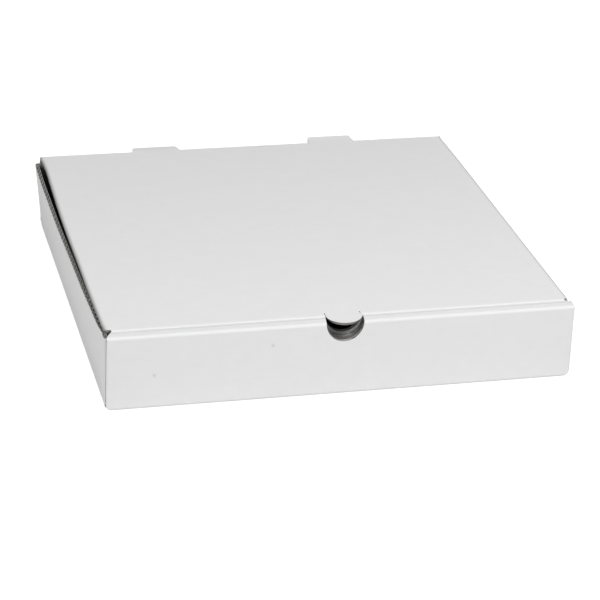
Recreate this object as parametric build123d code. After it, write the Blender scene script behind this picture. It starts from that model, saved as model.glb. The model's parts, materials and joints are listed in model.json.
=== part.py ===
from build123d import *
import os
from math import atan, atan2, cos, degrees, hypot, radians, tan

# A pizza box, die-cut and folded from one sheet of corrugated board.
# X runs left to right, Y from the front to the back, Z up, in millimetres.
# The origin is the middle of the underside of the tray's floor.

# Board
board = 2.8  # thickness of the corrugated board
fold_outside = 2.0  # round on the outside of a fold
fold_inside = 0.6  # round on the inside of a fold
roll_round = 1.2  # round at the back of the strip on top of the front wall

# Clearances
layer_gap = 0.2  # air between layers of the tray that lie face to face
roll_slack = 1.6  # air in the rolled front wall, beside its three layers
swing_gap = 0.3  # air between the lid and the tray, closed and along the swing
lock_gap = 0.3  # play of a locking lug in its slot
kerf = 0.15  # half the width of a cut line

# Tray
tray_width = 310.0  # outside, left to right
tray_depth = 310.0  # outside, front to back
front_height = 51.4  # floor to the top of the rolled front wall
rest_gap = 0.4  # air between the side walls' tops and the lid at the front
back_drop = 2.5  # air between the side walls' tops and the lid at the back
left_lean = 4.5  # how far the left wall's back top corner has sprung outwards
right_lean = 1.5  # the same for the right wall
front_flap = 60.0  # length of the side walls' front end flaps, held in the rolled wall
flap_relief = 2.2  # how much lower the end flaps are than the walls they hang on
flap_clearance = 8.0  # from a back end flap to the nearest tab window

# Locks of the rolled front wall
lock_offset = 80.0  # middle of the box to the middle of a lug
lock_width = 36.0
lock_tip = 0.4  # the lug's end stops this far above the underside

# Finger notch
notch_radius = 13.2

# Lid
lid_rise = 3.4  # the lid's top is this much higher at the back than at the front
lid_inset = 0.3  # the lid's side edges from the tray's outside
lid_corner = 3.5  # round of the lid's front corners
tuck_floor_gap = 10.6  # from the tuck flap's lower edge to the tray's floor
tuck_corner = 12.0  # round of the tuck flap's lower corners
tuck_spare_lean = 0.7  # degrees that the tuck flap leans in beyond what its swing needs
thumb_radius = 11.8
thumb_offset = 0.8  # middle of the thumb tab to the right of the box's middle
thumb_reach = 11.3  # thumb tab's tip ahead of the tuck flap's front

# Tabs behind the lid's fold, cut out of the back wall
tab_offset = 67.8  # middle of the box to the middle of a tab
tab_base = 36.2
tab_tip = 32.2
tab_reach = 9.0  # tip behind the back wall's outside
tab_corner = 1.5
tab_gap = 0.5  # side clearance of a tab in its window
window_gap = 0.4  # clearance under a tab's tip when it stands upright in its window

# Planes and levels
front = -tray_depth / 2
back = tray_depth / 2
side = tray_width / 2
roll_depth = 3 * board + roll_slack
roll_back = front + roll_depth
hinge_y = back - board / 2
hinge_z = front_height + lid_rise - board / 2
back_wall_top = hinge_z - board / 2 - swing_gap
wall_front_top = front_height - board - rest_gap
wall_back_top = hinge_z - board / 2 - back_drop
wall_front = front + board + layer_gap
wall_back = back - board - layer_gap
inner_panel_side = side - board - swing_gap
inner_panel_foot = board + layer_gap
back_flap = side - tab_offset - tab_base / 2 - flap_clearance
overcut = 1.0  # how far a cutting block runs past what it cuts


def rounded_face(points, rounds):
    """A flat face from its corner points, with a round at each corner named in rounds."""
    face = make_face(Polyline(*points, close=True))
    for corner, radius in rounds:
        vertex = face.vertices().sort_by_distance((*corner, 0))[0]
        face = fillet(vertex, radius)
    return face


def along_x(points, rounds, half_width):
    """A YZ outline run out to the same distance on both sides of the middle."""
    return extrude(Plane.YZ * rounded_face(points, rounds), amount=half_width, both=True)


def block(x_range, y_range, z_range):
    """A box between three pairs of limits."""
    size = [high - low for low, high in (x_range, y_range, z_range)]
    corner = [low for low, high in (x_range, y_range, z_range)]
    return Pos(*corner) * Box(*size, align=(Align.MIN, Align.MIN, Align.MIN))


def floor_and_upright_panels():
    """Floor, back wall, outer front panel and the strip on top of it."""
    outside_corners = [(back, 0), (front, 0), (front, front_height), (roll_back, front_height)]
    inside_corners = [
        (front + board, front_height - board),
        (front + board, board),
        (back - board, board),
    ]
    outline = [
        (back, back_wall_top),
        *outside_corners,
        (roll_back, front_height - board),
        *inside_corners,
        (back - board, back_wall_top),
    ]
    rounds = [(corner, fold_outside) for corner in outside_corners[:-1]]
    rounds += [(outside_corners[-1], roll_round)]
    rounds += [(corner, fold_inside) for corner in inside_corners]
    panels = along_x(outline, rounds, side)

    for direction in (-1, 1):
        edge = sorted((direction * (side - board), direction * (side + overcut)))
        panels -= block(edge, (front + board, back - board), (-overcut, board))

    # At its left end the strip narrows towards the inner panel that hangs from it.
    taper = (side - inner_panel_side) / (roll_back - front - board)
    strip_end = [
        (-side, front + board),
        (-side - overcut, front + board),
        (-side - overcut, roll_back + overcut),
        (-inner_panel_side + taper * overcut, roll_back + overcut),
    ]
    waste = extrude(make_face(Polyline(*strip_end, close=True)), amount=board, both=True)
    return panels - Pos(0, 0, front_height) * waste


def rolled_panel():
    """The front wall's inner panel, hanging from the strip, with its two lugs."""
    strip_front = front + board + fold_inside
    outside = (roll_back, front_height)
    inside = (roll_back - board, front_height - board)
    outline = [
        (strip_front, front_height),
        outside,
        (roll_back, inner_panel_foot),
        (roll_back - board, inner_panel_foot),
        inside,
        (strip_front, front_height - board),
    ]
    panel = along_x(outline, [(outside, roll_round), (inside, fold_inside)], inner_panel_side)
    for middle in (-lock_offset, lock_offset):
        lug_x = (middle - lock_width / 2, middle + lock_width / 2)
        panel += block(lug_x, (roll_back - board, roll_back), (lock_tip, inner_panel_foot))
    return panel


def lock_slots():
    """What the two lugs' slots take out of the floor."""
    slots = Part()
    for middle in (-lock_offset, lock_offset):
        half = lock_width / 2 + lock_gap
        slot_y = (roll_back - board - lock_gap, roll_back + lock_gap)
        slots += block((middle - half, middle + half), slot_y, (-overcut, board + overcut))
    return slots


def wall_plan(direction, front_shift, back_shift):
    """Plan of a side wall with its two end flaps, pushed outwards at its two ends."""
    front_x = side + front_shift
    back_x = side + back_shift
    front_out = (front_x, wall_front)
    back_out = (back_x, wall_back)
    back_in = (back_x - board, wall_back - board)
    front_in = (front_x - board, wall_front + board)
    outline = [
        (front_x - front_flap, wall_front),
        front_out,
        back_out,
        (back_x - back_flap, wall_back),
        (back_x - back_flap, wall_back - board),
        back_in,
        front_in,
        (front_x - front_flap, wall_front + board),
    ]
    rounds = [(front_out, fold_outside), (back_out, fold_outside)]
    rounds += [(back_in, fold_inside), (front_in, fold_inside)]
    if direction < 0:
        outline = [(-x, y) for x, y in outline]
        rounds = [((-x, y), radius) for (x, y), radius in rounds]
    return rounded_face(outline, rounds)


def side_wall(direction, back_lean):
    """One side wall on its fold, with an end flap at each end."""
    foot = Pos(0, 0, board) * wall_plan(direction, 0, 0)
    top = Pos(0, 0, wall_back_top) * wall_plan(direction, 0, back_lean)
    wall = loft([foot.face(), top.face()], ruled=True)

    # The top edge slopes from the back down to the front.
    slope = atan2(wall_back_top - wall_front_top, wall_back - wall_front)
    edge_line = Plane(origin=(0, wall_front, wall_front_top), x_dir=(1, 0, 0), z_dir=(0, -slope, 1))
    wall = split(wall, bisect_by=edge_line, keep=Keep.BOTTOM)

    # The flaps are a little lower than the wall and stand clear of the floor.
    inner = side - board - fold_inside
    flap_x = sorted((direction * inner, direction * (inner - max(front_flap, back_flap))))
    flap_y = (front, back)
    wall -= block(flap_x, flap_y, (wall_front_top - flap_relief, wall_back_top + overcut))
    wall -= block(flap_x, flap_y, (board - overcut, board + layer_gap))

    outer_corner = (direction * side, 0)
    fold_outline = [
        outer_corner,
        (direction * side, board),
        (direction * (side - board), board),
        (direction * (side - board), 0),
    ]
    fold_section = rounded_face(fold_outline, [(outer_corner, fold_outside)])
    fold_length = wall_back - wall_front - 2 * fold_outside
    fold = extrude(Plane.XZ * fold_section, amount=fold_length / 2, both=True)
    middle_y = (wall_back + wall_front) / 2
    return wall + Pos(0, middle_y, 0) * fold


def tab_outline(middle, gap, tip_length):
    """Plan of a back tab, from the fold's axis outwards."""
    base = tab_base / 2 + gap
    tip = tab_tip / 2 + gap
    return [(middle - base, 0), (middle + base, 0), (middle + tip, tip_length), (middle - tip, tip_length)]


def tab_windows():
    """What the two tabs leave open in the back wall."""
    depth = hypot(tab_reach + board / 2, board / 2) + window_gap
    windows = Part()
    for middle in (-tab_offset, tab_offset):
        outline = [(x, hinge_z - down) for x, down in tab_outline(middle, tab_gap, depth)]
        face = make_face(Polyline(*outline, close=True))
        cutter = extrude(Plane.XZ * face, amount=board + overcut, both=True)
        windows += Pos(0, back - board / 2, 0) * cutter
    return windows


def make_tray():
    tray = floor_and_upright_panels() - lock_slots()
    tray += rolled_panel()
    tray += side_wall(-1, left_lean)
    tray += side_wall(1, right_lean)
    tray -= tab_windows()
    notch = Rot(90, 0, 0) * Cylinder(notch_radius, 2 * (roll_depth + overcut))
    tray -= Pos(0, front, front_height) * notch
    return tray


def make_lid():
    """The lid is drawn level, with its fold's axis on the X axis, then tipped to rest."""
    slope = atan2(lid_rise, hinge_y - roll_back)
    reach = (hinge_y - roll_back - swing_gap) / cos(slope)
    lid_side = side - lid_inset
    flap_side = lid_side - lid_corner
    top = board / 2
    plate_front = -reach + fold_outside

    plate = block((-lid_side, lid_side), (plate_front, 0), (-top, top))
    front_corners = plate.edges().filter_by(Axis.Z).group_by(Axis.Y)[0]
    plate = fillet(front_corners, lid_corner)
    plate += Rot(0, 90, 0) * Cylinder(board / 2, 2 * lid_side)

    # The tuck flap leans in, so that its lower edge clears the rolled wall as the lid swings.
    flap_depth = front_height - board - tuck_floor_gap
    flap_bottom = top - flap_depth
    lean = atan(flap_depth / (2 * reach)) + radians(tuck_spare_lean)
    lean_in = flap_depth * tan(lean)
    outside = (-reach, top)
    inside = (-reach + board, -top)
    flap_outline = [
        (plate_front + board, top),
        outside,
        (-reach + lean_in, flap_bottom),
        (-reach + lean_in + board, flap_bottom),
        inside,
        (plate_front + board, -top),
    ]
    flap = along_x(flap_outline, [(outside, fold_outside), (inside, fold_inside)], flap_side)
    lower_corners = flap.edges().filter_by(Axis.Y).group_by(Axis.Z)[0]
    flap = fillet(lower_corners, tuck_corner)

    # The thumb tab is cut out of the flap and stays level with the lid.
    thumb_middle = -reach - thumb_reach + thumb_radius
    hole_radius = thumb_radius + kerf
    hole = Rot(90, 0, 0) * Cylinder(hole_radius, 2 * (lean_in + board + overcut))
    flap -= Pos(thumb_offset, -reach, top) * hole
    thumb = Cylinder(thumb_radius, board)
    thumb += block((-hole_radius, hole_radius), (0, thumb_radius), (-top, top))

    lid = plate + flap + Pos(thumb_offset, thumb_middle, 0) * thumb
    for middle in (-tab_offset, tab_offset):
        outline = tab_outline(middle, 0, tab_reach + board / 2)
        tip_corners = [(point, tab_corner) for point in outline[2:]]
        tab = rounded_face(outline, tip_corners)
        lid += extrude(tab, amount=top, both=True)

    return Pos(0, hinge_y, hinge_z) * Rot(degrees(slope), 0, 0) * lid


os.makedirs("parts", exist_ok=True)
export_step(make_tray(), "parts/tray.step")
export_step(make_lid(), "parts/lid.step")
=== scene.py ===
import json
import math

import bmesh
import bpy
from mathutils import Matrix, Vector


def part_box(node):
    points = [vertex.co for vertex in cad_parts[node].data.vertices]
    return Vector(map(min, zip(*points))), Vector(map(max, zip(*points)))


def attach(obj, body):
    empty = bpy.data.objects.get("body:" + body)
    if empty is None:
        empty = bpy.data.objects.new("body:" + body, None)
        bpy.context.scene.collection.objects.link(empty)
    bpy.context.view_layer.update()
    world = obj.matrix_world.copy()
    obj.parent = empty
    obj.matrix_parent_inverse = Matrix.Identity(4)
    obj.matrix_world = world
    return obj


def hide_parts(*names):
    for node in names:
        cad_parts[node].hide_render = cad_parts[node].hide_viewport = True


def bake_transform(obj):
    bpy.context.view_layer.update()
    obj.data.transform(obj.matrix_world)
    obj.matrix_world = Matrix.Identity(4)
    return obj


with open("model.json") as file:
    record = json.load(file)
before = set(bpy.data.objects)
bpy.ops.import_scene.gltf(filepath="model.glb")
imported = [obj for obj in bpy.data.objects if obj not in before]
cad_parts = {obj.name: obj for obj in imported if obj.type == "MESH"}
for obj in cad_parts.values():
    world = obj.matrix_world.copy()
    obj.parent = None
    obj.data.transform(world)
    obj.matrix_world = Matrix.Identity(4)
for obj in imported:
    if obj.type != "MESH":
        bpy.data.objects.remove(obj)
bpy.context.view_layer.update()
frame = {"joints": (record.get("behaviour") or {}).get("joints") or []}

# A pizza box, folded from one sheet of corrugated board and white on the outside.
# The sheet is made flat, as its outer liner, its fluting and its inner liner, then die-cut and folded.
# In the flat sheet X and Y are those of the floor, and Z is the depth below the sheet's outer face.
# The lid's sheet is made on its own: its Y is 0 at its fold and falls towards the closed lid's front.
# The flutes run along X, so the side walls' raw top edges show their ends.

MM = 0.001
TINY = 0.002 * MM

# Straight steps of the round outlines
PANEL_CORNER_STEPS = 8
NOTCH_STEPS = 28
LID_CORNER_STEPS = 14
TAB_CORNER_STEPS = 5
THUMB_STEPS = 32

# Board
BOARD = 2.8 * MM
LINER = 0.35 * MM
FLUTING = 0.25 * MM
FLUTE_PITCH = 6.5 * MM
FLUTE_STEPS = 12  # straight steps along one flute
FOLD_OUTSIDE = 2.0 * MM
FOLD_INSIDE = 0.6 * MM
ROLL_ROUND = 1.2 * MM
FOLD_ZONE = FOLD_OUTSIDE + 1.4 * MM  # on each side of a fold, where the sheet is scored
BEND_STEPS = 6
BEND_MARGIN = 1.2  # from a fold's line to the outermost line scored for it, in half widths of its bend
FACING = 0.5  # a face whose normal points up or down by more than this is no cut edge
SHARP_EDGE = math.radians(32)

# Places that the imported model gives
tray_low, tray_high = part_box("tray")
HINGE = Vector(frame["joints"][0]["pos_m"])
FRONT = tray_low.y
BACK = tray_high.y
BACK_WALL_TOP = tray_high.z

LID_FOLD_LINE = BACK + HINGE.z  # the lid's fold in the whole flat sheet

# Tray
HALF_WIDTH = 155.0 * MM
FRONT_HEIGHT = 51.4 * MM
ROLL_DEPTH = 10.0 * MM
LAYER_GAP = 0.2 * MM
WALL_SETBACK = BOARD + LAYER_GAP  # from the box's front or back plane to a side wall's end
WALL_FRONT_TOP = 48.2 * MM
WALL_BACK_TOP = 49.5 * MM
FLAP_TOP = 46.0 * MM
FLAP_SHOULDER = 8.0 * MM  # length of an end flap that is as high as the wall
BACK_END_LIFT = 1.2 * MM  # how far the walls' back ends have ridden up
BACK_END = 15.0 * MM
FRONT_END_LIFT = 1.7 * MM  # the same for the left wall's front end
FRONT_END = 8.0 * MM
FRONT_END_ON_FLAP = 2.5 * MM  # how far that lift reaches on to the end flap
FRONT_FLAP = 60.0 * MM
BACK_FLAP = 61.1 * MM
FOLD_END_GAP = 5.0 * MM  # from the box's corner to the end of a side wall's fold
CORNER_RELIEF = 4.5 * MM  # round of the front and back panels' lower corners
INNER_PANEL_SIDE = 151.9 * MM
FOOT_GAP = BOARD + LAYER_GAP
LUG_OFFSET = 80.0 * MM
LUG_WIDTH = 36.0 * MM
LUG_TIP = 0.4 * MM
SLOT_PLAY = 0.3 * MM
NOTCH_HALF_WIDTH = 12.6 * MM
NOTCH_DEPTH = 13.6 * MM
NOTCH_OFFSET = 0.4 * MM  # middle of the notch to the right of the box's middle
ROLL_SKEW = 1.5 * MM  # how far the back of the strip on top of the front wall sits to the right
LEFT_SPREAD = 0.5 * MM  # how far the front panel's left end sits to the right at its top
RIGHT_SPREAD = 1.0 * MM  # how far its right end sits to the right
STRIP_SPREAD = 0.5 * MM  # how much further the strip's right end does at its back
CREASE_PAINTED_SHADE = 0.2  # painted shade: how much darker the liner is painted in the groove beside the strip's back fold
CREASE_SHADE_LINES = (1.7 * MM, 2.3 * MM, 3.1 * MM, 3.7 * MM)  # from that fold

# How far the side walls' top edges have sprung outwards: place along Y, then distance
LEFT_SPRING = [(-152, -0.4), (-143, -0.6), (-135, 0.6), (-126, 1.3), (-117, 1.65), (-98, 2.15)]
LEFT_SPRING += [(-75, 2.9), (-41, 3.4), (-10, 3.9), (28, 4.55), (98, 4.75), (125, 4.65), (152, 4.1)]
RIGHT_SPRING = [(-152, 1.8), (-143, 1.7), (-110, 1.1), (0, 1.2), (152, 1.5)]
WALL_STATIONS = [y * MM for y in range(-146, 147, 7)]  # where the sprung walls are divided

# Lid
LID_RISE = 3.4 * MM
LID_SIDE = 154.7 * MM
LID_CORNER = 3.5 * MM
TUCK_DEPTH = 38.0 * MM
TUCK_CORNER = 12.0 * MM
TUCK_LEAN = math.radians(4.33)
SWING_GAP = 0.3 * MM
LID_SHIFT = 0.7 * MM  # how far the lid's front has swung to the right
THUMB_RADIUS = 11.8 * MM
THUMB_OFFSET = 0.8 * MM
THUMB_REACH = 11.3 * MM
THUMB_RISE = 0.1 * MM  # how far its tip stands up
THUMB_ROOT_SHARE = 1.25  # from the fold's line to the tab's root, in half widths of the fold's bend
THUMB_PINCH = 0.94  # share of the board's thickness that the thumb tab has lost at its rim
THUMB_PINCH_WIDTH = 3.0 * MM
THUMB_STEP = 1.25 * MM
THUMB_RINGS = 3
KERF = 0.15 * MM
LID_CRUSH = 1.0 * MM  # how far the liner has gone down along the lid's cut sides
LID_CRUSH_WIDTH = 2.6 * MM
PANEL_CRUSH = 0.6 * MM  # the same along the front panel's cut sides
PANEL_CRUSH_WIDTH = 1.8 * MM
CRUSH_SHARES = (0.0, 0.3, 0.55, 0.8, 0.97)  # where a crush is divided, from its inner limit to the edge

# How far the lid's side edges are worn in from a straight line: place along Y, then distance
LEFT_WEAR = [(-146, 0.9), (-140, 0.3), (-133, -0.17), (-115, -0.48), (-78, -0.8), (-40, -0.8), (0, -1.0)]
LEFT_WEAR += [(42, -0.96), (64, -0.65), (87, -0.16), (98, 0.07), (111, 0.33), (123, 0.7), (136, 0.75)]
LEFT_WEAR += [(146, 0.2), (152, -0.1)]
RIGHT_WEAR = [(-146, -1.5), (-142, -0.3), (-137, 0.0), (90, 0.0), (115, 0.1), (135, 0.4), (150, 0.6)]

# Tabs behind the lid's fold
TAB_OFFSET = 67.8 * MM
TAB_BASE = 36.2 * MM
TAB_TIP = 32.2 * MM
TAB_REACH = 9.0 * MM
TAB_CORNER = 1.5 * MM
TAB_GAP = 0.5 * MM
WINDOW_DEPTH = 10.9 * MM
TAB_LIFT = {-1: -1.0 * MM, 1: 0.6 * MM}  # the left tab's tip droops, the right one's stands up
TAB_BEND_SHARES = (0.2, 0.4, 0.6, 0.8)

# The crease between the back wall and the lid
CREASE_ON_WALL = 4.4 * MM
CREASE_ON_LID_OUTSIDE = 2.9 * MM
CREASE_ON_LID_INSIDE = 4.4 * MM
CREASE_RADIUS_OUTSIDE = 1.4 * MM
CREASE_RADIUS_INSIDE = 0.8 * MM
CREASE_STEPS = 14

# Material slots of a sheet
WHITE, GREY, RAW = range(3)

ROLL_BACK = FRONT + ROLL_DEPTH
LID_SLOPE = math.atan2(LID_RISE, HINGE.y - ROLL_BACK)
LID_REACH = (HINGE.y - ROLL_BACK - SWING_GAP) / math.cos(LID_SLOPE)


class Crease:
    """A fold line across the flat sheet. What lies beyond it turns towards the sheet's inner face."""

    def __init__(self, across, line, side, turn=math.radians(90), rounds=(FOLD_OUTSIDE, FOLD_INSIDE)):
        self.across = across  # 0 where the fold is crossed along X, 1 along Y
        self.line = line  # where the outer faces on both sides would meet
        self.side = side
        self.turn = turn
        self.rounds = rounds

    def radius(self, depth):
        outside, inside = self.rounds
        return outside + (inside - outside) * depth / BOARD

    def half_width(self, depth):
        """Half the width of the bent zone in the flat sheet."""
        return (depth + self.radius(depth)) * math.tan(self.turn / 2)

    def bend(self, place, flat, sharp=False):
        """Where a point goes that lies at flat in the sheet and has come to place so far.

        What isn't joined along the fold line itself turns as it would on a sharp fold."""
        past = self.side * (flat[self.across] - self.line)
        half = 0.0 if sharp else self.half_width(flat.z)
        if past <= -half:
            return place
        if past >= half:
            out = self.side * (place[self.across] - self.line)
            run = out * math.cos(self.turn) - place.z * math.sin(self.turn)
            rise = out * math.sin(self.turn) + place.z * math.cos(self.turn)
        else:
            angle = self.turn * (past + half) / (2 * half)
            run = self.radius(flat.z) * math.sin(angle) - half
            rise = flat.z + self.radius(flat.z) * (1 - math.cos(angle))
        bent = place.copy()
        bent[self.across] = self.line + self.side * run
        bent.z = rise
        return bent

    def zone(self):
        """The stretch of the flat sheet that is scored for the fold."""
        return self.line - FOLD_ZONE, self.line + FOLD_ZONE

    def score_lines(self, depth):
        """Where the sheet is divided, so that it can bend."""
        half = self.half_width(depth)
        steps = [step / BEND_STEPS * 2 - 1 for step in range(BEND_STEPS + 1)]
        return [self.line + share * half for share in (-BEND_MARGIN, *steps, BEND_MARGIN)]


def smooth_between(points, at):
    """A value on the smooth line through a few (place, value) points."""
    if at <= points[0][0]:
        return points[0][1]
    if at >= points[-1][0]:
        return points[-1][1]
    index = max(i for i, (place, value) in enumerate(points) if place <= at)
    index = min(index, len(points) - 2)

    def slope(i):
        low, high = max(i - 1, 0), min(i + 1, len(points) - 1)
        return (points[high][1] - points[low][1]) / (points[high][0] - points[low][0])

    (start, value), (end, next_value) = points[index], points[index + 1]
    span = end - start
    t = (at - start) / span
    ease = t * t * (3 - 2 * t)
    leaving = t * (1 - t) ** 2 * span * slope(index)
    arriving = t * t * (t - 1) * span * slope(index + 1)
    return value + (next_value - value) * ease + leaving + arriving


def rectangle(x_limits, y_limits):
    (x0, x1), (y0, y1) = sorted(x_limits), sorted(y_limits)
    return [(x0, y0), (x1, y0), (x1, y1), (x0, y1)]


def arc(centre, radii, start, stop, steps):
    """Points on an ellipse's arc, with its angles in degrees."""
    angles = [math.radians(start + (stop - start) * i / steps) for i in range(steps + 1)]
    return [(centre[0] + radii[0] * math.cos(a), centre[1] + radii[1] * math.sin(a)) for a in angles]


def mirrored(outline):
    return [(-x, y) for x, y in reversed(outline)]


def inside(outline, x, y):
    """Whether a point lies within a convex outline that runs anticlockwise."""
    corners = zip(outline, outline[1:] + outline[:1])
    return all((x1 - x0) * (y - y0) >= (y1 - y0) * (x - x0) for (x0, y0), (x1, y1) in corners)


def blank(x_limits, y_limits, step=None):
    """A flat rectangle of sheet. A step divides it into strips along X."""
    (x0, x1), (y0, y1) = x_limits, y_limits
    if step is None:
        step = y1 - y0
        first, last = y0 / step, y1 / step
    else:
        first, last = math.floor(y0 / step), math.ceil(y1 / step)
    sheet = bmesh.new()
    bmesh.ops.create_grid(sheet, x_segments=1, y_segments=round(last - first), size=0.5)
    bmesh.ops.scale(sheet, verts=sheet.verts, vec=(x1 - x0, (last - first) * step, 1))
    middle = ((x0 + x1) / 2, (first + last) / 2 * step, 0)
    bmesh.ops.translate(sheet, verts=sheet.verts, vec=middle)
    return sheet


def faces_in(sheet, x_limits, y_limits):
    """The faces that reach into a rectangle."""
    (x0, x1), (y0, y1) = sorted(x_limits), sorted(y_limits)
    found = []
    for face in sheet.faces:
        ys = [v.co.y for v in face.verts]
        if max(ys) > y0 + TINY and min(ys) < y1 - TINY:
            xs = [v.co.x for v in face.verts]
            if max(xs) > x0 + TINY and min(xs) < x1 - TINY:
                found.append(face)
    return found


def divide(sheet, faces, point, normal):
    """Cuts faces along an upright plane and returns all that they become."""
    parts = dict.fromkeys(part for face in faces for part in (face, *face.edges, *face.verts))
    across = Vector((*normal, 0)).normalized()
    cut = bmesh.ops.bisect_plane(
        sheet, geom=list(parts), dist=TINY, plane_co=(*point, 0), plane_no=across
    )
    return [part for part in cut["geom"] if isinstance(part, bmesh.types.BMFace)]


def knife(sheet, outline):
    """Cuts a sheet along a convex outline, no further than the outline's own box."""
    xs, ys = zip(*outline)
    faces = faces_in(sheet, (min(xs), max(xs)), (min(ys), max(ys)))
    for x in (min(xs), max(xs)):
        faces = divide(sheet, faces, (x, 0), (1, 0))
    for y in (min(ys), max(ys)):
        faces = divide(sheet, faces, (0, y), (0, 1))
    faces = [f for f in faces if f.is_valid]
    box = rectangle((min(xs), max(xs)), (min(ys), max(ys)))
    faces = [f for f in faces if inside(box, *f.calc_center_median().xy)]
    for (x0, y0), (x1, y1) in zip(outline, outline[1:] + outline[:1]):
        if abs(x1 - x0) > TINY and abs(y1 - y0) > TINY:
            faces = divide(sheet, faces, (x0, y0), (y1 - y0, x0 - x1))
    return faces


def drop(sheet, faces):
    bmesh.ops.delete(sheet, geom=faces, context="FACES")


def drop_beyond(sheet, y0, y1):
    """Trims the strips that the blank has too many."""
    faces = divide(sheet, sheet.faces[:], (0, y0), (0, 1))
    divide(sheet, faces, (0, y1), (0, 1))
    drop(sheet, [f for f in sheet.faces if not y0 < f.calc_center_median().y < y1])


def cut_out(sheet, outline):
    """What lies within the outline falls out."""
    faces = knife(sheet, outline)
    drop(sheet, [f for f in faces if inside(outline, *f.calc_center_median().xy)])


def round_off(sheet, outline):
    """What lies in the outline's box, but outside the outline, falls off."""
    faces = knife(sheet, outline)
    drop(sheet, [f for f in faces if not inside(outline, *f.calc_center_median().xy)])


def score(sheet, crease, depth, along, x_limits, y_limits):
    """Divides a sheet where it bends, and at the places along a bend that follows a curve."""
    normal = (1, 0) if crease.across == 0 else (0, 1)
    faces = faces_in(sheet, x_limits, y_limits)
    for line in crease.score_lines(depth):
        point = (line, 0) if crease.across == 0 else (0, line)
        faces = divide(sheet, faces, point, normal)
    for line in along:
        faces = divide(sheet, faces, (0, line), (0, 1))


class Layer:
    """One paper of the board: its depth, its thickness and the slots of its two faces."""

    def __init__(self, depth, thickness, outer_slot, inner_slot, wavy=False):
        self.depth = depth
        self.thickness = thickness
        self.outer_slot = outer_slot
        self.inner_slot = inner_slot
        self.wavy = wavy

    def blank(self, x_limits, y_limits):
        return blank(x_limits, y_limits, FLUTE_PITCH / FLUTE_STEPS if self.wavy else None)

    def middle_depth(self):
        return self.depth + self.thickness / 2

    def surface(self, y):
        """Depth of the paper's outer side at a place along Y."""
        if not self.wavy:
            return self.depth
        swing = (BOARD - 2 * LINER - self.thickness) / 2
        return self.depth + swing * (1 + math.sin(2 * math.pi * y / FLUTE_PITCH))

    def thicken(self, sheet):
        """Gives a cut sheet its depth, its thickness and its material slots."""
        for vertex in sheet.verts:
            vertex.co.z = self.surface(vertex.co.y)
        grown = bmesh.ops.extrude_face_region(sheet, geom=sheet.faces[:])["geom"]
        raised = [part for part in grown if isinstance(part, bmesh.types.BMVert)]
        bmesh.ops.translate(sheet, verts=raised, vec=(0, 0, self.thickness))
        bmesh.ops.recalc_face_normals(sheet, faces=sheet.faces[:])
        for face in sheet.faces:
            face.normal_update()
            if face.normal.z < -FACING:
                face.material_index = self.outer_slot
            elif face.normal.z > FACING:
                face.material_index = self.inner_slot
            else:
                face.material_index = RAW


OUTER_LINER = Layer(0, LINER, WHITE, RAW)
MIDDLE = Layer(LINER, FLUTING, RAW, RAW, wavy=True)
INNER_LINER = Layer(BOARD - LINER, LINER, RAW, GREY)
BOARD_LAYERS = (OUTER_LINER, MIDDLE, INNER_LINER)


def unshaded(flat):
    """The painted shade of a sheet that has none."""
    return 0.0


def fold(sheet, place_of, painted_shade_of=unshaded, line=None):
    """Moves each point from its flat place to its folded one, and keeps what the finishes need.

    A line is the place of the lid's fold in the whole flat sheet, beyond which the lid lies."""
    flat_sheet = sheet.verts.layers.float_vector.new("flat_sheet")
    painted_shade = sheet.verts.layers.float.new("painted_shade")
    for vertex in sheet.verts:
        flat = vertex.co.copy()
        vertex[flat_sheet] = flat if line is None else Vector((flat.x, line - flat.y, flat.z))
        vertex[painted_shade] = painted_shade_of(flat)
        vertex.co = place_of(flat)


def crushed(from_edge, width):
    """How much of the crush along a cut edge reaches a place: 1 at the edge."""
    return max(0.0, 1 - from_edge / width) ** 2


def divide_along_edges(sheet, edge, width, y_limits):
    """Divides a sheet beside its two cut sides, so that they can be crushed."""
    for side in (-1, 1):
        faces = faces_in(sheet, (side * (edge - width), side * edge), y_limits)
        for share in CRUSH_SHARES:
            faces = divide(sheet, faces, (side * (edge - width * (1 - share)), 0), (1, 0))


def make_piece(name, sheets, finishes):
    """Joins finished sheets into one object."""
    whole = bmesh.new()
    for sheet in sheets:
        paper = bpy.data.meshes.new("paper")
        sheet.to_mesh(paper)
        sheet.free()
        whole.from_mesh(paper)
        bpy.data.meshes.remove(paper)
    bmesh.ops.recalc_face_normals(whole, faces=whole.faces[:])
    for face in whole.faces:
        face.smooth = True
    for edge in whole.edges:
        edge.smooth = edge.calc_face_angle(math.pi) < SHARP_EDGE
    mesh = bpy.data.meshes.new(name)
    whole.to_mesh(mesh)
    whole.free()
    for finish in finishes:
        mesh.materials.append(finish)
    piece = bpy.data.objects.new(name, mesh)
    bpy.context.scene.collection.objects.link(piece)
    return piece


# Tray

STRIP_LINE = FRONT - FRONT_HEIGHT
ROLL_LINE = STRIP_LINE - ROLL_DEPTH
FOOT_LINE = ROLL_LINE - FRONT_HEIGHT + FOOT_GAP
LUG_LINE = ROLL_LINE - FRONT_HEIGHT + LUG_TIP

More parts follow.
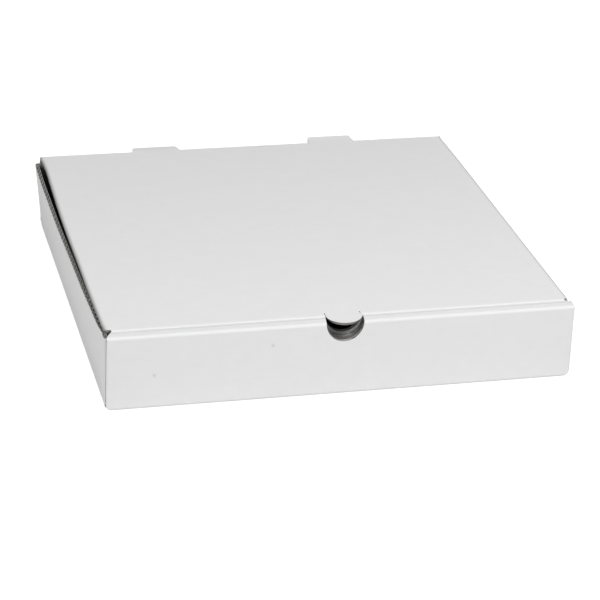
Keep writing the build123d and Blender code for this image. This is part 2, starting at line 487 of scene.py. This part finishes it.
# Folds of the front panel, the outermost first, and of the back panel
PANEL_CREASES = [
    Crease(1, ROLL_LINE, -1, rounds=(ROLL_ROUND, FOLD_INSIDE)),
    Crease(1, STRIP_LINE, -1),
    Crease(1, FRONT, -1),
    Crease(1, BACK, 1),
]
WALL_FRONT = FRONT + WALL_SETBACK
WALL_BACK = BACK - WALL_SETBACK
FLAP_CREASES = [Crease(1, WALL_FRONT, -1), Crease(1, WALL_BACK, 1)]
FLAP_STEPS = (WALL_FRONT - FLAP_SHOULDER, WALL_BACK + FLAP_SHOULDER)  # where the end flaps get lower
WALL_CREASES = [Crease(0, -HALF_WIDTH, -1), Crease(0, HALF_WIDTH, 1)]
FOLD_ENDS = (FRONT + FOLD_END_GAP, BACK - FOLD_END_GAP)
FLAP_FRONT_LINE = WALL_FRONT - FRONT_FLAP
FLAP_BACK_LINE = WALL_BACK + BACK_FLAP
FLAP_FOOT = HALF_WIDTH + FOOT_GAP
WALL_LIMIT = HALF_WIDTH + WALL_BACK_TOP + MM  # a little past the walls' top edges


def wall_top_outline():
    """What lies above the right wall's sloping top edge."""
    slope = (WALL_BACK_TOP - WALL_FRONT_TOP) / (WALL_BACK - WALL_FRONT)
    front, back = FLAP_STEPS
    front_top, back_top = (HALF_WIDTH + WALL_FRONT_TOP + slope * (y - WALL_FRONT) for y in FLAP_STEPS)
    return [(front_top, front), (WALL_LIMIT, front), (WALL_LIMIT, back), (back_top, back)]


def window_outline():
    """The window in the back wall that the right back tab is cut from."""
    base = TAB_BASE / 2 + TAB_GAP
    tip = TAB_TIP / 2 + TAB_GAP
    end = LID_FOLD_LINE - WINDOW_DEPTH
    narrow_side = [(TAB_OFFSET - tip, end), (TAB_OFFSET + tip, end)]
    return narrow_side + [(TAB_OFFSET + base, LID_FOLD_LINE), (TAB_OFFSET - base, LID_FOLD_LINE)]


def tray_waste(back_end):
    """Outlines of the waste at the tray's right side."""
    front_step, back_step = FLAP_STEPS
    front_fold_end, back_fold_end = FOLD_ENDS
    relief_side = HALF_WIDTH - CORNER_RELIEF
    lug_inner, lug_outer = LUG_OFFSET - LUG_WIDTH / 2, LUG_OFFSET + LUG_WIDTH / 2
    return [
        rectangle((HALF_WIDTH, WALL_LIMIT), (LUG_LINE, FLAP_FRONT_LINE)),
        rectangle((HALF_WIDTH, FLAP_FOOT), (FLAP_FRONT_LINE, front_fold_end)),
        rectangle((HALF_WIDTH, FLAP_FOOT), (back_fold_end, FLAP_BACK_LINE)),
        rectangle((HALF_WIDTH + FLAP_TOP, WALL_LIMIT), (FLAP_FRONT_LINE, front_step)),
        rectangle((HALF_WIDTH + FLAP_TOP, WALL_LIMIT), (back_step, FLAP_BACK_LINE)),
        rectangle((relief_side, HALF_WIDTH), (FRONT, front_fold_end)),
        rectangle((relief_side, HALF_WIDTH), (back_fold_end, BACK)),
        rectangle((INNER_PANEL_SIDE, HALF_WIDTH), (LUG_LINE, ROLL_LINE - BOARD)),
        rectangle((lug_outer, INNER_PANEL_SIDE), (LUG_LINE, FOOT_LINE)),
        rectangle((0, lug_inner), (LUG_LINE, FOOT_LINE)),
        rectangle(
            (lug_inner - SLOT_PLAY, lug_outer + SLOT_PLAY),
            (ROLL_BACK - BOARD - SLOT_PLAY, ROLL_BACK + SLOT_PLAY),
        ),
        rectangle((0, HALF_WIDTH), (back_end, FLAP_BACK_LINE)),
        window_outline(),
        wall_top_outline(),
    ]


def corner_keeps():
    """Rounded lower corners of the front and back panels, at the right."""
    middle = HALF_WIDTH - CORNER_RELIEF
    round_radii = (CORNER_RELIEF, CORNER_RELIEF)
    front = [(middle, FRONT - CORNER_RELIEF)]
    front += arc((middle, FRONT - CORNER_RELIEF), round_radii, 0, 90, PANEL_CORNER_STEPS)
    back = [(middle, BACK + CORNER_RELIEF)]
    back += arc((middle, BACK + CORNER_RELIEF), round_radii, -90, 0, PANEL_CORNER_STEPS)
    return [front, back]


def strip_end_outline():
    """What is missing at the left end of the strip on top, which narrows towards the inner panel."""
    foot = ROLL_LINE - BOARD
    slant = [(-INNER_PANEL_SIDE, ROLL_LINE), (-HALF_WIDTH, STRIP_LINE - BOARD)]
    return [(-INNER_PANEL_SIDE, foot), *slant, (-HALF_WIDTH, foot)]


def notch_outline():
    """The finger notch in the flat: it crosses the front panel, the strip on top and the inner panel."""
    radii = (NOTCH_HALF_WIDTH, NOTCH_DEPTH)
    on_panel = arc((NOTCH_OFFSET, STRIP_LINE), radii, 0, 180, NOTCH_STEPS)
    return on_panel + arc((NOTCH_OFFSET, ROLL_LINE), radii, 180, 360, NOTCH_STEPS)


def roll_skew(flat):
    """How far the strip and the inner panel have shifted to the right at a place."""
    if flat.y > STRIP_LINE or flat.y < FOOT_LINE:
        return 0.0
    along = (STRIP_LINE - flat.y) / ROLL_DEPTH
    if flat.y < ROLL_LINE:
        along = (flat.y - FOOT_LINE) / (ROLL_LINE - FOOT_LINE)
    if flat.x > INNER_PANEL_SIDE + TINY:
        return STRIP_SPREAD * along
    from_left = (flat.x + HALF_WIDTH) / (2 * HALF_WIDTH)
    return ROLL_SKEW * along * (1 - from_left ** 4)


def panel_spread(flat):
    """How far the front panel's and the strip's ends sit to the right: the left one only at its top."""
    if abs(flat.x) < INNER_PANEL_SIDE + TINY or flat.y > FRONT:
        return 0.0
    if flat.x > 0:
        return RIGHT_SPREAD * min(1.0, (FRONT - flat.y) / CORNER_RELIEF)
    return LEFT_SPREAD * min(1.0, (FRONT - flat.y) / FRONT_HEIGHT) ** 2


def lid_wear_in(x, y):
    """How far the lid's side edge, on the side of x, lies in from a straight line."""
    return smooth_between(RIGHT_WEAR if x > 0 else LEFT_WEAR, y / MM) * MM


def narrowed(x, share):
    """X on the back wall, which has drawn in towards the lid's fold: share 0 at its foot, 1 at the fold."""
    return x * (1 - share * lid_wear_in(x, BACK) / LID_SIDE)


def wall_spring(x, y):
    """How far the top edge of the wall on the side of x has sprung outwards."""
    points = RIGHT_SPRING if x > 0 else LEFT_SPRING
    return smooth_between(points, y / MM) * MM


def wall_end_lift(flat, y):
    """How far a wall's top has ridden up, near its back end and near the left one's front end."""
    lift = BACK_END_LIFT * max(0.0, 1 - (WALL_BACK - y) / BACK_END) ** 2
    if flat.x < 0:
        from_fold = flat.y - WALL_FRONT
        reach = FRONT_END if from_fold > 0 else FRONT_END_ON_FLAP
        lift += FRONT_END_LIFT * max(0.0, 1 - abs(from_fold) / reach)
    return lift


def tray_place(flat):
    """Folds a point of the flat sheet into the tray."""
    place = flat.copy()
    on_fold = FOLD_ENDS[0] - TINY < flat.y < FOLD_ENDS[1] + TINY
    of_wall = abs(flat.x) > HALF_WIDTH + TINY or on_fold
    if abs(flat.x) >= FLAP_FOOT - TINY:
        for crease in FLAP_CREASES:
            place = crease.bend(place, flat)
    if not of_wall:
        if flat.y < FRONT:
            crush = PANEL_CRUSH * crushed(HALF_WIDTH - abs(flat.x), PANEL_CRUSH_WIDTH)
            place.z += crush * (1 - flat.z / BOARD)
        place.x += roll_skew(flat) + panel_spread(flat)
        place.x = narrowed(place.x, max(0.0, flat.y - BACK) / HINGE.z)
        for crease in PANEL_CREASES:
            place = crease.bend(place, flat)
        return place
    for crease in WALL_CREASES:
        place = crease.bend(place, flat, sharp=not on_fold)
    height = (place.z - BOARD) / (WALL_BACK_TOP - BOARD)
    if abs(flat.x) > HALF_WIDTH - BOARD and height > 0:
        place.x += math.copysign(wall_spring(flat.x, place.y) * height, flat.x)
        place.z += wall_end_lift(flat, place.y) * height
    return place


def tray_painted_shade(flat):
    """How much darker the white liner is painted: a line of painted shade in the groove beside the strip's
    back fold.
    """
    start, end = CREASE_SHADE_LINES[0], CREASE_SHADE_LINES[-1]
    in_shaded_line = flat.z < BOARD / 2 and start + TINY < flat.y - ROLL_LINE < end - TINY
    return CREASE_PAINTED_SHADE if in_shaded_line else 0.0


def cut_tray(sheet, layer):
    """Takes the waste out of a paper of the tray."""
    back_end = BACK + (BACK_WALL_TOP if layer.wavy else HINGE.z + BOARD / 2 - CREASE_ON_WALL)
    for outline in tray_waste(back_end):
        cut_out(sheet, outline)
        cut_out(sheet, mirrored(outline))
    for outline in corner_keeps():
        round_off(sheet, outline)
        round_off(sheet, mirrored(outline))
    cut_out(sheet, strip_end_outline())
    cut_out(sheet, notch_outline())


def score_tray(sheet, layer):
    """Divides a paper of the tray where it bends. The fluting is made in strips, so it needs fewer lines."""
    divide_along_edges(sheet, HALF_WIDTH, PANEL_CRUSH_WIDTH, (STRIP_LINE, FRONT))
    depth = layer.middle_depth()
    for crease in WALL_CREASES:
        edge = crease.side * (HALF_WIDTH - FOLD_ZONE)
        along = [] if layer.wavy else WALL_STATIONS
        score(sheet, crease, depth, along, (edge, crease.side * WALL_LIMIT), FOLD_ENDS)
    if layer.wavy:
        return
    for crease in PANEL_CREASES:
        score(sheet, crease, depth, [], (-HALF_WIDTH, HALF_WIDTH), crease.zone())
    faces = faces_in(sheet, (-HALF_WIDTH, HALF_WIDTH), (ROLL_LINE, STRIP_LINE))
    # Lines that bound the painted shade beside the strip's back fold
    for from_fold in CREASE_SHADE_LINES:
        faces = divide(sheet, faces, (0, ROLL_LINE + from_fold), (0, 1))
    for crease in FLAP_CREASES:
        for side in (-1, 1):
            score(sheet, crease, depth, [], (side * FLAP_FOOT, side * WALL_LIMIT), crease.zone())


def tray_sheet(layer):
    """One paper of the tray: cut, scored and folded."""
    sheet = layer.blank((-WALL_LIMIT, WALL_LIMIT), (LUG_LINE, FLAP_BACK_LINE))
    drop_beyond(sheet, LUG_LINE, FLAP_BACK_LINE)
    cut_tray(sheet, layer)
    score_tray(sheet, layer)
    layer.thicken(sheet)
    fold(sheet, tray_place, tray_painted_shade)
    return sheet


# Lid

LID_CREASE = Crease(1, -LID_REACH, -1, math.radians(90) + TUCK_LEAN)
THUMB_MIDDLE = -LID_REACH - THUMB_REACH + THUMB_RADIUS
THUMB_ROOT = -LID_REACH + THUMB_ROOT_SHARE * LID_CREASE.half_width(BOARD)
HOLE_RADIUS = THUMB_RADIUS + KERF
TUCK_SIDE = LID_SIDE - LID_CORNER
TUCK_LINE = -LID_REACH - TUCK_DEPTH
TAB_LINE = BOARD / 2 + TAB_REACH
WORN_STATIONS = [-HINGE.y + y * MM for y in (-144, -142, -139, -136, -132, -126, -120)]
WORN_STATIONS += [-HINGE.y + y * MM for y in range(-110, 151, 10)]


def lid_waste():
    """Outlines of the waste at the lid's right side."""
    plate_front = -LID_REACH + FOLD_OUTSIDE
    between_tabs = TAB_OFFSET - TAB_BASE / 2
    beside_tab = TAB_OFFSET + TAB_BASE / 2
    tip_inner = TAB_OFFSET - TAB_TIP / 2
    tip_outer = TAB_OFFSET + TAB_TIP / 2
    return [
        rectangle((TUCK_SIDE, LID_SIDE), (TUCK_LINE, plate_front)),
        [(0, 0), (between_tabs, 0), (tip_inner, TAB_LINE), (0, TAB_LINE)],
        [(beside_tab, 0), (LID_SIDE, 0), (LID_SIDE, TAB_LINE), (tip_outer, TAB_LINE)],
    ]


def lid_keeps():
    """Rounded corners at the lid's right side."""
    plate_corner = (TUCK_SIDE, -LID_REACH + FOLD_OUTSIDE + LID_CORNER)
    plate = [plate_corner] + arc(plate_corner, (LID_CORNER, LID_CORNER), -90, 0, LID_CORNER_STEPS)
    tuck_corner = (TUCK_SIDE - TUCK_CORNER, TUCK_LINE + TUCK_CORNER)
    tuck = [tuck_corner] + arc(tuck_corner, (TUCK_CORNER, TUCK_CORNER), -90, 0, LID_CORNER_STEPS)
    keeps = [plate, tuck]
    for end in (-1, 1):
        corner = (TAB_OFFSET + end * (TAB_TIP / 2 - TAB_CORNER), TAB_LINE - TAB_CORNER)
        angles = (0, 90) if end > 0 else (90, 180)
        keeps.append([corner] + arc(corner, (TAB_CORNER, TAB_CORNER), *angles, TAB_CORNER_STEPS))
    return keeps


def thumb_outline(inset):
    """The thumb tab's outline from its root line, or a line at some distance within it."""
    radius = THUMB_RADIUS - inset
    spread = math.degrees(math.asin((THUMB_ROOT - THUMB_MIDDLE) / radius))
    return arc((THUMB_OFFSET, THUMB_MIDDLE), (radius, radius), 180 - spread, 360 + spread, THUMB_STEPS)


def cut_thumb_tab(sheet):
    """Frees the half-moon thumb tab from the tuck flap and takes out the sliver beyond it."""
    hole = [(THUMB_OFFSET + HOLE_RADIUS, THUMB_ROOT), (THUMB_OFFSET - HOLE_RADIUS, THUMB_ROOT)]
    hole += arc((THUMB_OFFSET, -LID_REACH), (HOLE_RADIUS, HOLE_RADIUS), 180, 360, NOTCH_STEPS)
    knife(sheet, hole)
    tab = thumb_outline(0)
    knife(sheet, tab)
    centres = [(face, face.calc_center_median().xy) for face in sheet.faces]
    drop(sheet, [face for face, at in centres if inside(hole, *at) and not inside(tab, *at)])
    for ring in range(1, THUMB_RINGS + 1):
        knife(sheet, thumb_outline(ring * THUMB_PINCH_WIDTH / THUMB_RINGS))
    faces = [face for face in sheet.faces if inside(tab, *face.calc_center_median().xy)]
    line = THUMB_ROOT - THUMB_STEP
    while line > THUMB_MIDDLE - THUMB_RADIUS + THUMB_PINCH_WIDTH:
        faces = divide(sheet, faces, (0, line), (0, 1))
        line -= THUMB_STEP


def from_thumb_rim(flat):
    """How far within the thumb tab's rim a place lies."""
    return THUMB_RADIUS - math.hypot(flat.x - THUMB_OFFSET, flat.y - THUMB_MIDDLE)


def in_thumb_tab(flat):
    """Whether a place lies on the thumb tab, which stays in the lid's plane."""
    return flat.y < THUMB_ROOT - TINY and from_thumb_rim(flat) > -KERF / 2


def lid_place(flat):
    """Folds a point of the flat sheet into the lid and lays it on the tray."""
    place = flat.copy()
    if flat.y < 0:
        crush = LID_CRUSH * crushed(LID_SIDE - abs(flat.x), LID_CRUSH_WIDTH)
        place.z += crush * (1 - flat.z / BOARD)
    place.x *= 1 - lid_wear_in(flat.x, HINGE.y + flat.y) / LID_SIDE
    place.x -= LID_SHIFT * min(flat.y, 0) / LID_REACH
    if in_thumb_tab(flat):
        past = (THUMB_ROOT - flat.y) / (THUMB_ROOT - THUMB_MIDDLE + THUMB_RADIUS)
        place.z *= 1 - THUMB_PINCH * crushed(from_thumb_rim(flat), THUMB_PINCH_WIDTH)
        place.z -= THUMB_RISE * past ** 2
    else:
        place = LID_CREASE.bend(place, flat)
    if flat.y > 0:
        side = 1 if flat.x > 0 else -1
        place.z -= TAB_LIFT[side] * (flat.y / TAB_LINE) ** 2
    level = Vector((place.x, place.y, BOARD / 2 - place.z))
    return HINGE + Matrix.Rotation(LID_SLOPE, 3, "X") @ level


def lid_painted_shade(flat):
    """How much darker the white liner is painted: painted shade along the crushed cut sides, where they bend
    down beside the walls' top edges.
    """
    if not -LID_REACH < flat.y < 0 or flat.z > BOARD / 2 or in_thumb_tab(flat):
        return 0.0
    return crushed(LID_SIDE - abs(flat.x), LID_CRUSH_WIDTH)


def cut_lid(sheet, layer):
    """Takes the waste out of a paper of the lid, and out of a liner what the crease's own paper covers."""
    for outline in lid_waste():
        cut_out(sheet, outline)
        cut_out(sheet, mirrored(outline))
    for outline in lid_keeps():
        round_off(sheet, outline)
        round_off(sheet, mirrored(outline))
    if not layer.wavy:
        on_lid = CREASE_ON_LID_OUTSIDE if layer is OUTER_LINER else CREASE_ON_LID_INSIDE
        end = BOARD / 2 - on_lid
        for x_limits in crease_stretches():
            cut_out(sheet, rectangle(x_limits, (end, 0)))
    cut_thumb_tab(sheet)


def score_lid(sheet, layer):
    """Divides a paper of the lid where it bends and along its worn sides."""
    divide_along_edges(sheet, LID_SIDE, LID_CRUSH_WIDTH, (-LID_REACH, 0))
    if layer.wavy:
        return
    faces = faces_in(sheet, (-LID_SIDE, LID_SIDE), (WORN_STATIONS[0] - MM, WORN_STATIONS[-1] + MM))
    for line in WORN_STATIONS:
        faces = divide(sheet, faces, (0, line), (0, 1))
    score(sheet, LID_CREASE, layer.middle_depth(), [], (-LID_SIDE, LID_SIDE), LID_CREASE.zone())
    faces = faces_in(sheet, (-LID_SIDE, LID_SIDE), (0, TAB_LINE))
    for share in TAB_BEND_SHARES:
        faces = divide(sheet, faces, (0, share * TAB_LINE), (0, 1))


def lid_sheet(layer):
    """One paper of the lid: cut, scored and folded."""
    sheet = layer.blank((-LID_SIDE, LID_SIDE), (TUCK_LINE, TAB_LINE))
    drop_beyond(sheet, TUCK_LINE, TAB_LINE)
    cut_lid(sheet, layer)
    score_lid(sheet, layer)
    layer.thicken(sheet)
    fold(sheet, lid_place, lid_painted_shade, LID_FOLD_LINE)
    return sheet


# Crease between the back wall and the lid

def crease_stretches():
    """The crease is whole beside and between the tabs."""
    inner = TAB_OFFSET - TAB_BASE / 2
    outer = TAB_OFFSET + TAB_BASE / 2
    return [(-LID_SIDE, -outer), (-inner, inner), (outer, LID_SIDE)]


def crease_sheets(layer, radius, on_lid):
    """The paper that runs from the back wall over the fold and on to the lid."""
    rounds = (radius, radius - BOARD)
    crease = Crease(1, 0, 1, math.radians(90) + LID_SLOPE, rounds)
    corner_height = HINGE.z + BOARD / 2

    def place_of(flat):
        bent = crease.bend(flat, flat)
        return Vector((narrowed(bent.x, 1), BACK - bent.z, corner_height + bent.y))

    sheets = []
    for x_limits in crease_stretches():
        sheet = blank(x_limits, (-CREASE_ON_WALL, on_lid))
        faces = sheet.faces[:]
        half = crease.half_width(layer.depth)
        for step in range(CREASE_STEPS + 1):
            line = half * (2 * step / CREASE_STEPS - 1)
            faces = divide(sheet, faces, (0, line), (0, 1))
        layer.thicken(sheet)
        fold(sheet, place_of)
        sheets.append(sheet)
    return sheets


# Finishes

# How pale each paper is, from its darker to its paler patches
WHITE_LEVELS = (0.765, 0.825)
INSIDE_LEVELS = (0.24, 0.36)
RAW_LEVELS = (0.22, 0.55)
# colour of the painted shade, and of the two small dark spots
SHADE_AND_SPOT_LEVEL = 0.30
UNBLEACHED = 0.02  # warmth of the inside and of the fluting
SPOT_STRENGTH = 0.35
PAPER_GLOSS = 0.35

# Small dark spots on the front panel: place in the flat sheet, then radius
DARK_SPOTS = [
    (Vector((-123.9, -178.3, 0)) * MM, 1.6 * MM),
    (Vector((-47.0, -193.5, 0)) * MM, 1.8 * MM),
]


class Value:
    """What a node gives. Adding, subtracting or multiplying numbers that vary adds the nodes for it."""

    def __init__(self, finish, socket):
        self.finish = finish
        self.socket = socket

    def _math(self, operation, first, second):
        return self.finish.node("ShaderNodeMath", {"operation": operation}, {0: first, 1: second})

    def __add__(self, other):
        return self._math("ADD", self, other)

    __radd__ = __add__

    def __sub__(self, other):
        return self._math("SUBTRACT", self, other)

    def __rsub__(self, other):
        return self._math("SUBTRACT", other, self)

    def __mul__(self, other):
        return self._math("MULTIPLY", self, other)

    __rmul__ = __mul__


class Finish:
    """A material, or the world, that is built up node by node."""

    def __init__(self, owner, output):
        owner.use_nodes = True
        self.owner = owner
        self.tree = owner.node_tree
        self.tree.nodes.clear()
        self.output = self.tree.nodes.new(output)

    def node(self, kind, settings=None, sockets=None, out=0):
        """Adds a node from its type, its settings and the values or links of its sockets."""
        made = self.tree.nodes.new(kind)
        for name, setting in (settings or {}).items():
            setattr(made, name, setting)
        for name, value in (sockets or {}).items():
            if isinstance(value, Value):
                self.tree.links.new(value.socket, made.inputs[name])
            else:
                made.inputs[name].default_value = value
        return Value(self, made.outputs[out])

    def complete(self, surface):
        self.tree.links.new(surface.socket, self.output.inputs["Surface"])
        return self.owner


def new_finish(name):
    return Finish(bpy.data.materials.new(name), "ShaderNodeOutputMaterial")


def grey(level, warmth=0.0):
    """A nearly neutral colour, a little warmer with some warmth."""
    return (level * (1 + warmth), level, level * (1 - 1.5 * warmth), 1)


def noise(finish, scale, detail=3.0, roughness=0.6, stretch=(1, 1, 1)):
    """Object-space noise, drawn out along an axis by a stretch below one."""
    place = finish.node("ShaderNodeTexCoord", out="Object")
    scaled = finish.node("ShaderNodeMapping", None, {"Vector": place, "Scale": stretch})
    sockets = {"Vector": scaled, "Scale": scale, "Detail": detail, "Roughness": roughness}
    return finish.node("ShaderNodeTexNoise", None, sockets)


def flat_place(finish):
    """Where a point lies in the whole flat sheet."""
    return finish.node("ShaderNodeAttribute", {"attribute_name": "flat_sheet"}, out="Vector")


def washboard(finish):
    """The faint waves that the flutes leave in a liner, from 0 in a hollow to 1 on a ridge."""
    along = finish.node("ShaderNodeSeparateXYZ", None, {0: flat_place(finish)}, out="Y")
    turned = finish.node("ShaderNodeMath", {"operation": "SINE"}, {0: along * (2 * math.pi / FLUTE_PITCH)})
    return 0.5 + 0.5 * turned


def paper(finish, colour, roughness, height):
    """The shader of a sheet of paper, with its relief from a height in millimetres."""
    raised = {"Strength": 1.0, "Distance": MM, "Height": height}
    relief = finish.node("ShaderNodeBump", None, raised, "Normal")
    sockets = {"Base Color": colour, "Roughness": roughness, "Normal": relief}
    sockets["Specular IOR Level"] = PAPER_GLOSS
    return finish.complete(finish.node("ShaderNodeBsdfPrincipled", None, sockets))


def shade(finish, low, high, share):
    """A colour between two, by a share from 0 to 1."""
    settings = {"data_type": "RGBA"}
    return finish.node("ShaderNodeMix", settings, {0: share, 6: low, 7: high}, 2)


def speck(finish, place, radius):
    """A small spot on the sheet: 1 in its middle and 0 from its radius on."""
    ends = {0: flat_place(finish), 1: place}
    away = finish.node("ShaderNodeVectorMath", {"operation": "DISTANCE"}, ends, "Value")
    return finish.node("ShaderNodeMath", {"operation": "MAXIMUM"}, {0: 1 - away * (1 / radius), 1: 0.0})


def white_liner():
    """Bleached liner: matt and smooth, with painted shade along the lid's cut edges and beside the strip's
    back fold, and two small dark spots.
    """
    finish = new_finish("white_liner")
    clouds = noise(finish, scale=90, detail=4)
    fibres = noise(finish, scale=900, detail=3, roughness=0.7, stretch=(0.25, 1, 1))
    flutes = washboard(finish)
    share = clouds * 0.65 + fibres * 0.3 + flutes * 0.05
    low, high = WHITE_LEVELS
    clean = shade(finish, grey(low), grey(high), share)
    # painted shade along the lid's cut sides and beside the strip's back fold
    shade_share = finish.node("ShaderNodeAttribute", {"attribute_name": "painted_shade"}, out="Fac")
    shaded = shade(finish, clean, grey(SHADE_AND_SPOT_LEVEL), shade_share)
    spots = sum(speck(finish, place, radius) for place, radius in DARK_SPOTS)
    colour = shade(finish, shaded, grey(SHADE_AND_SPOT_LEVEL), spots * SPOT_STRENGTH)
    height = flutes * 0.006 + fibres * 0.012
    return paper(finish, colour, 0.62 + 0.12 * fibres, height)


def grey_liner():
    """The unbleached grey liner inside the box."""
    finish = new_finish("grey_liner")
    clouds = noise(finish, scale=60, detail=5)
    fibres = noise(finish, scale=700, detail=4, roughness=0.75, stretch=(0.2, 1, 1))
    flutes = washboard(finish)
    share = clouds * 0.45 + fibres * 0.5 + flutes * 0.05
    low, high = INSIDE_LEVELS
    colour = shade(finish, grey(low, UNBLEACHED), grey(high, UNBLEACHED), share)
    height = flutes * 0.02 + fibres * 0.02
    return paper(finish, colour, 0.8 + 0.1 * fibres, height)


def raw_board():
    """Fluting and cut edges: darker, mottled and rough."""
    finish = new_finish("raw_board")
    clouds = noise(finish, scale=130, detail=3)
    fibres = noise(finish, scale=1500, detail=3, roughness=0.7)
    low, high = RAW_LEVELS
    colour = shade(finish, grey(low, UNBLEACHED), grey(high, UNBLEACHED), clouds * 0.6 + fibres * 0.4)
    return paper(finish, colour, 0.85 + 0.1 * fibres, fibres * 0.05)


def seen_share(finish):
    """1 for a ray that shows the background, and 0 for one that only carries its light."""
    path = "ShaderNodeLightPath"
    camera = finish.node(path, out="Is Camera Ray")
    glossy = finish.node(path, out="Is Glossy Ray")
    through = finish.node(path, out="Is Transmission Ray")
    return finish.node("ShaderNodeMath", {"operation": "MAXIMUM"}, {0: camera, 1: glossy + through})


# Stage, light and camera

FLOOR_SIZE = 12.0
FLOOR_GLOW = 1.35
FLOOR_SHADOW = 0.32  # how strongly the floor shows the box's shadow
AMBIENT = 0.23
CAMERA_PLACE = Vector((-367.09, -1482.86, 696.27)) * MM
CAMERA_YAW = math.radians(-14.225)
CAMERA_PITCH = math.radians(24.593)
CAMERA_ROLL = math.radians(2.162)
FOCAL_LENGTH = 2369.62  # in pixels of the photograph's 600
FRAME_WIDTH = 600
SENSOR = 36.0
LAMP_TARGET = Vector((0, -0.05, 0.03))
LAMP_DISTANCE = 1.9
LAMP_SIZE = 0.8
LEFT_LAMP = Vector((-0.75, -0.35, 0.55)), 10.5
FRONT_LAMP = Vector((0.3, -0.5, 0.8)), 24.1


def floor_finish():
    """White where it is seen, with the box's shadow, and a plain pale floor to the light."""
    finish = new_finish("floor")
    pale = finish.node("ShaderNodeBsdfDiffuse", None, {"Color": grey(0.8)})
    shadowed = finish.node("ShaderNodeBsdfDiffuse", None, {"Color": grey(1.0)})
    white = finish.node("ShaderNodeEmission", None, {"Color": grey(1.0), "Strength": FLOOR_GLOW})
    shown = finish.node("ShaderNodeMixShader", None, {0: FLOOR_SHADOW, 1: white, 2: shadowed})
    surface = finish.node("ShaderNodeMixShader", None, {0: seen_share(finish), 1: pale, 2: shown})
    clear = finish.node("ShaderNodeBsdfTransparent")
    below = finish.node("ShaderNodeNewGeometry", out="Backfacing")
    return finish.complete(finish.node("ShaderNodeMixShader", None, {0: below, 1: surface, 2: clear}))


def add_floor():
    sheet = blank((-FLOOR_SIZE / 2, FLOOR_SIZE / 2), (-FLOOR_SIZE / 2, FLOOR_SIZE / 2))
    mesh = bpy.data.meshes.new("floor")
    sheet.to_mesh(mesh)
    sheet.free()
    mesh.materials.append(floor_finish())
    floor = bpy.data.objects.new("floor", mesh)
    bpy.context.scene.collection.objects.link(floor)


def add_world():
    world = bpy.data.worlds.new("studio")
    bpy.context.scene.world = world
    finish = Finish(world, "ShaderNodeOutputWorld")
    light = finish.node("ShaderNodeBackground", None, {"Color": grey(1.0), "Strength": AMBIENT})
    shown = finish.node("ShaderNodeBackground", None, {"Color": grey(1.0), "Strength": 1.0})
    finish.complete(finish.node("ShaderNodeMixShader", None, {0: seen_share(finish), 1: light, 2: shown}))


def add_lamp(name, direction, power):
    lamp = bpy.data.lights.new(name, "AREA")
    lamp.shape = "DISK"
    lamp.size = LAMP_SIZE
    lamp.energy = power
    holder = bpy.data.objects.new(name, lamp)
    bpy.context.scene.collection.objects.link(holder)
    holder.location = LAMP_TARGET + direction.normalized() * LAMP_DISTANCE
    holder.rotation_mode = "QUATERNION"
    holder.rotation_quaternion = direction.to_track_quat("Z", "Y")


def add_camera():
    lens = bpy.data.cameras.new("camera")
    lens.sensor_width = SENSOR
    lens.lens = FOCAL_LENGTH / FRAME_WIDTH * SENSOR
    camera = bpy.data.objects.new("camera", lens)
    bpy.context.scene.collection.objects.link(camera)
    ahead = Vector((
        -math.sin(CAMERA_YAW) * math.cos(CAMERA_PITCH),
        math.cos(CAMERA_YAW) * math.cos(CAMERA_PITCH),
        -math.sin(CAMERA_PITCH),
    ))
    level = Vector((math.cos(CAMERA_YAW), math.sin(CAMERA_YAW), 0))
    upright = level.cross(ahead)
    right = math.cos(CAMERA_ROLL) * level + math.sin(CAMERA_ROLL) * upright
    above = math.cos(CAMERA_ROLL) * upright - math.sin(CAMERA_ROLL) * level
    turned = Matrix((right, above, -ahead)).transposed()
    camera.matrix_world = Matrix.Translation(CAMERA_PLACE) @ turned.to_4x4()
    bpy.context.scene.camera = camera


finishes = [white_liner(), grey_liner(), raw_board()]

tray = make_piece("tray_board", [tray_sheet(layer) for layer in BOARD_LAYERS], finishes)
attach(tray, "tray")
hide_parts("tray")

lid = make_piece("lid_board", [lid_sheet(layer) for layer in BOARD_LAYERS], finishes)
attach(lid, "lid")
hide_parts("lid")

outside = crease_sheets(OUTER_LINER, CREASE_RADIUS_OUTSIDE, CREASE_ON_LID_OUTSIDE)
crease_outside = make_piece("lid_crease_outside", outside, finishes)
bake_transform(crease_outside)

within = crease_sheets(INNER_LINER, CREASE_RADIUS_INSIDE + BOARD, CREASE_ON_LID_INSIDE)
crease_inside = make_piece("lid_crease_inside", within, finishes)
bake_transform(crease_inside)

add_floor()
add_world()
add_lamp("left_lamp", *LEFT_LAMP)
add_lamp("front_lamp", *FRONT_LAMP)
add_camera()
bpy.context.scene.view_settings.view_transform = "Standard"
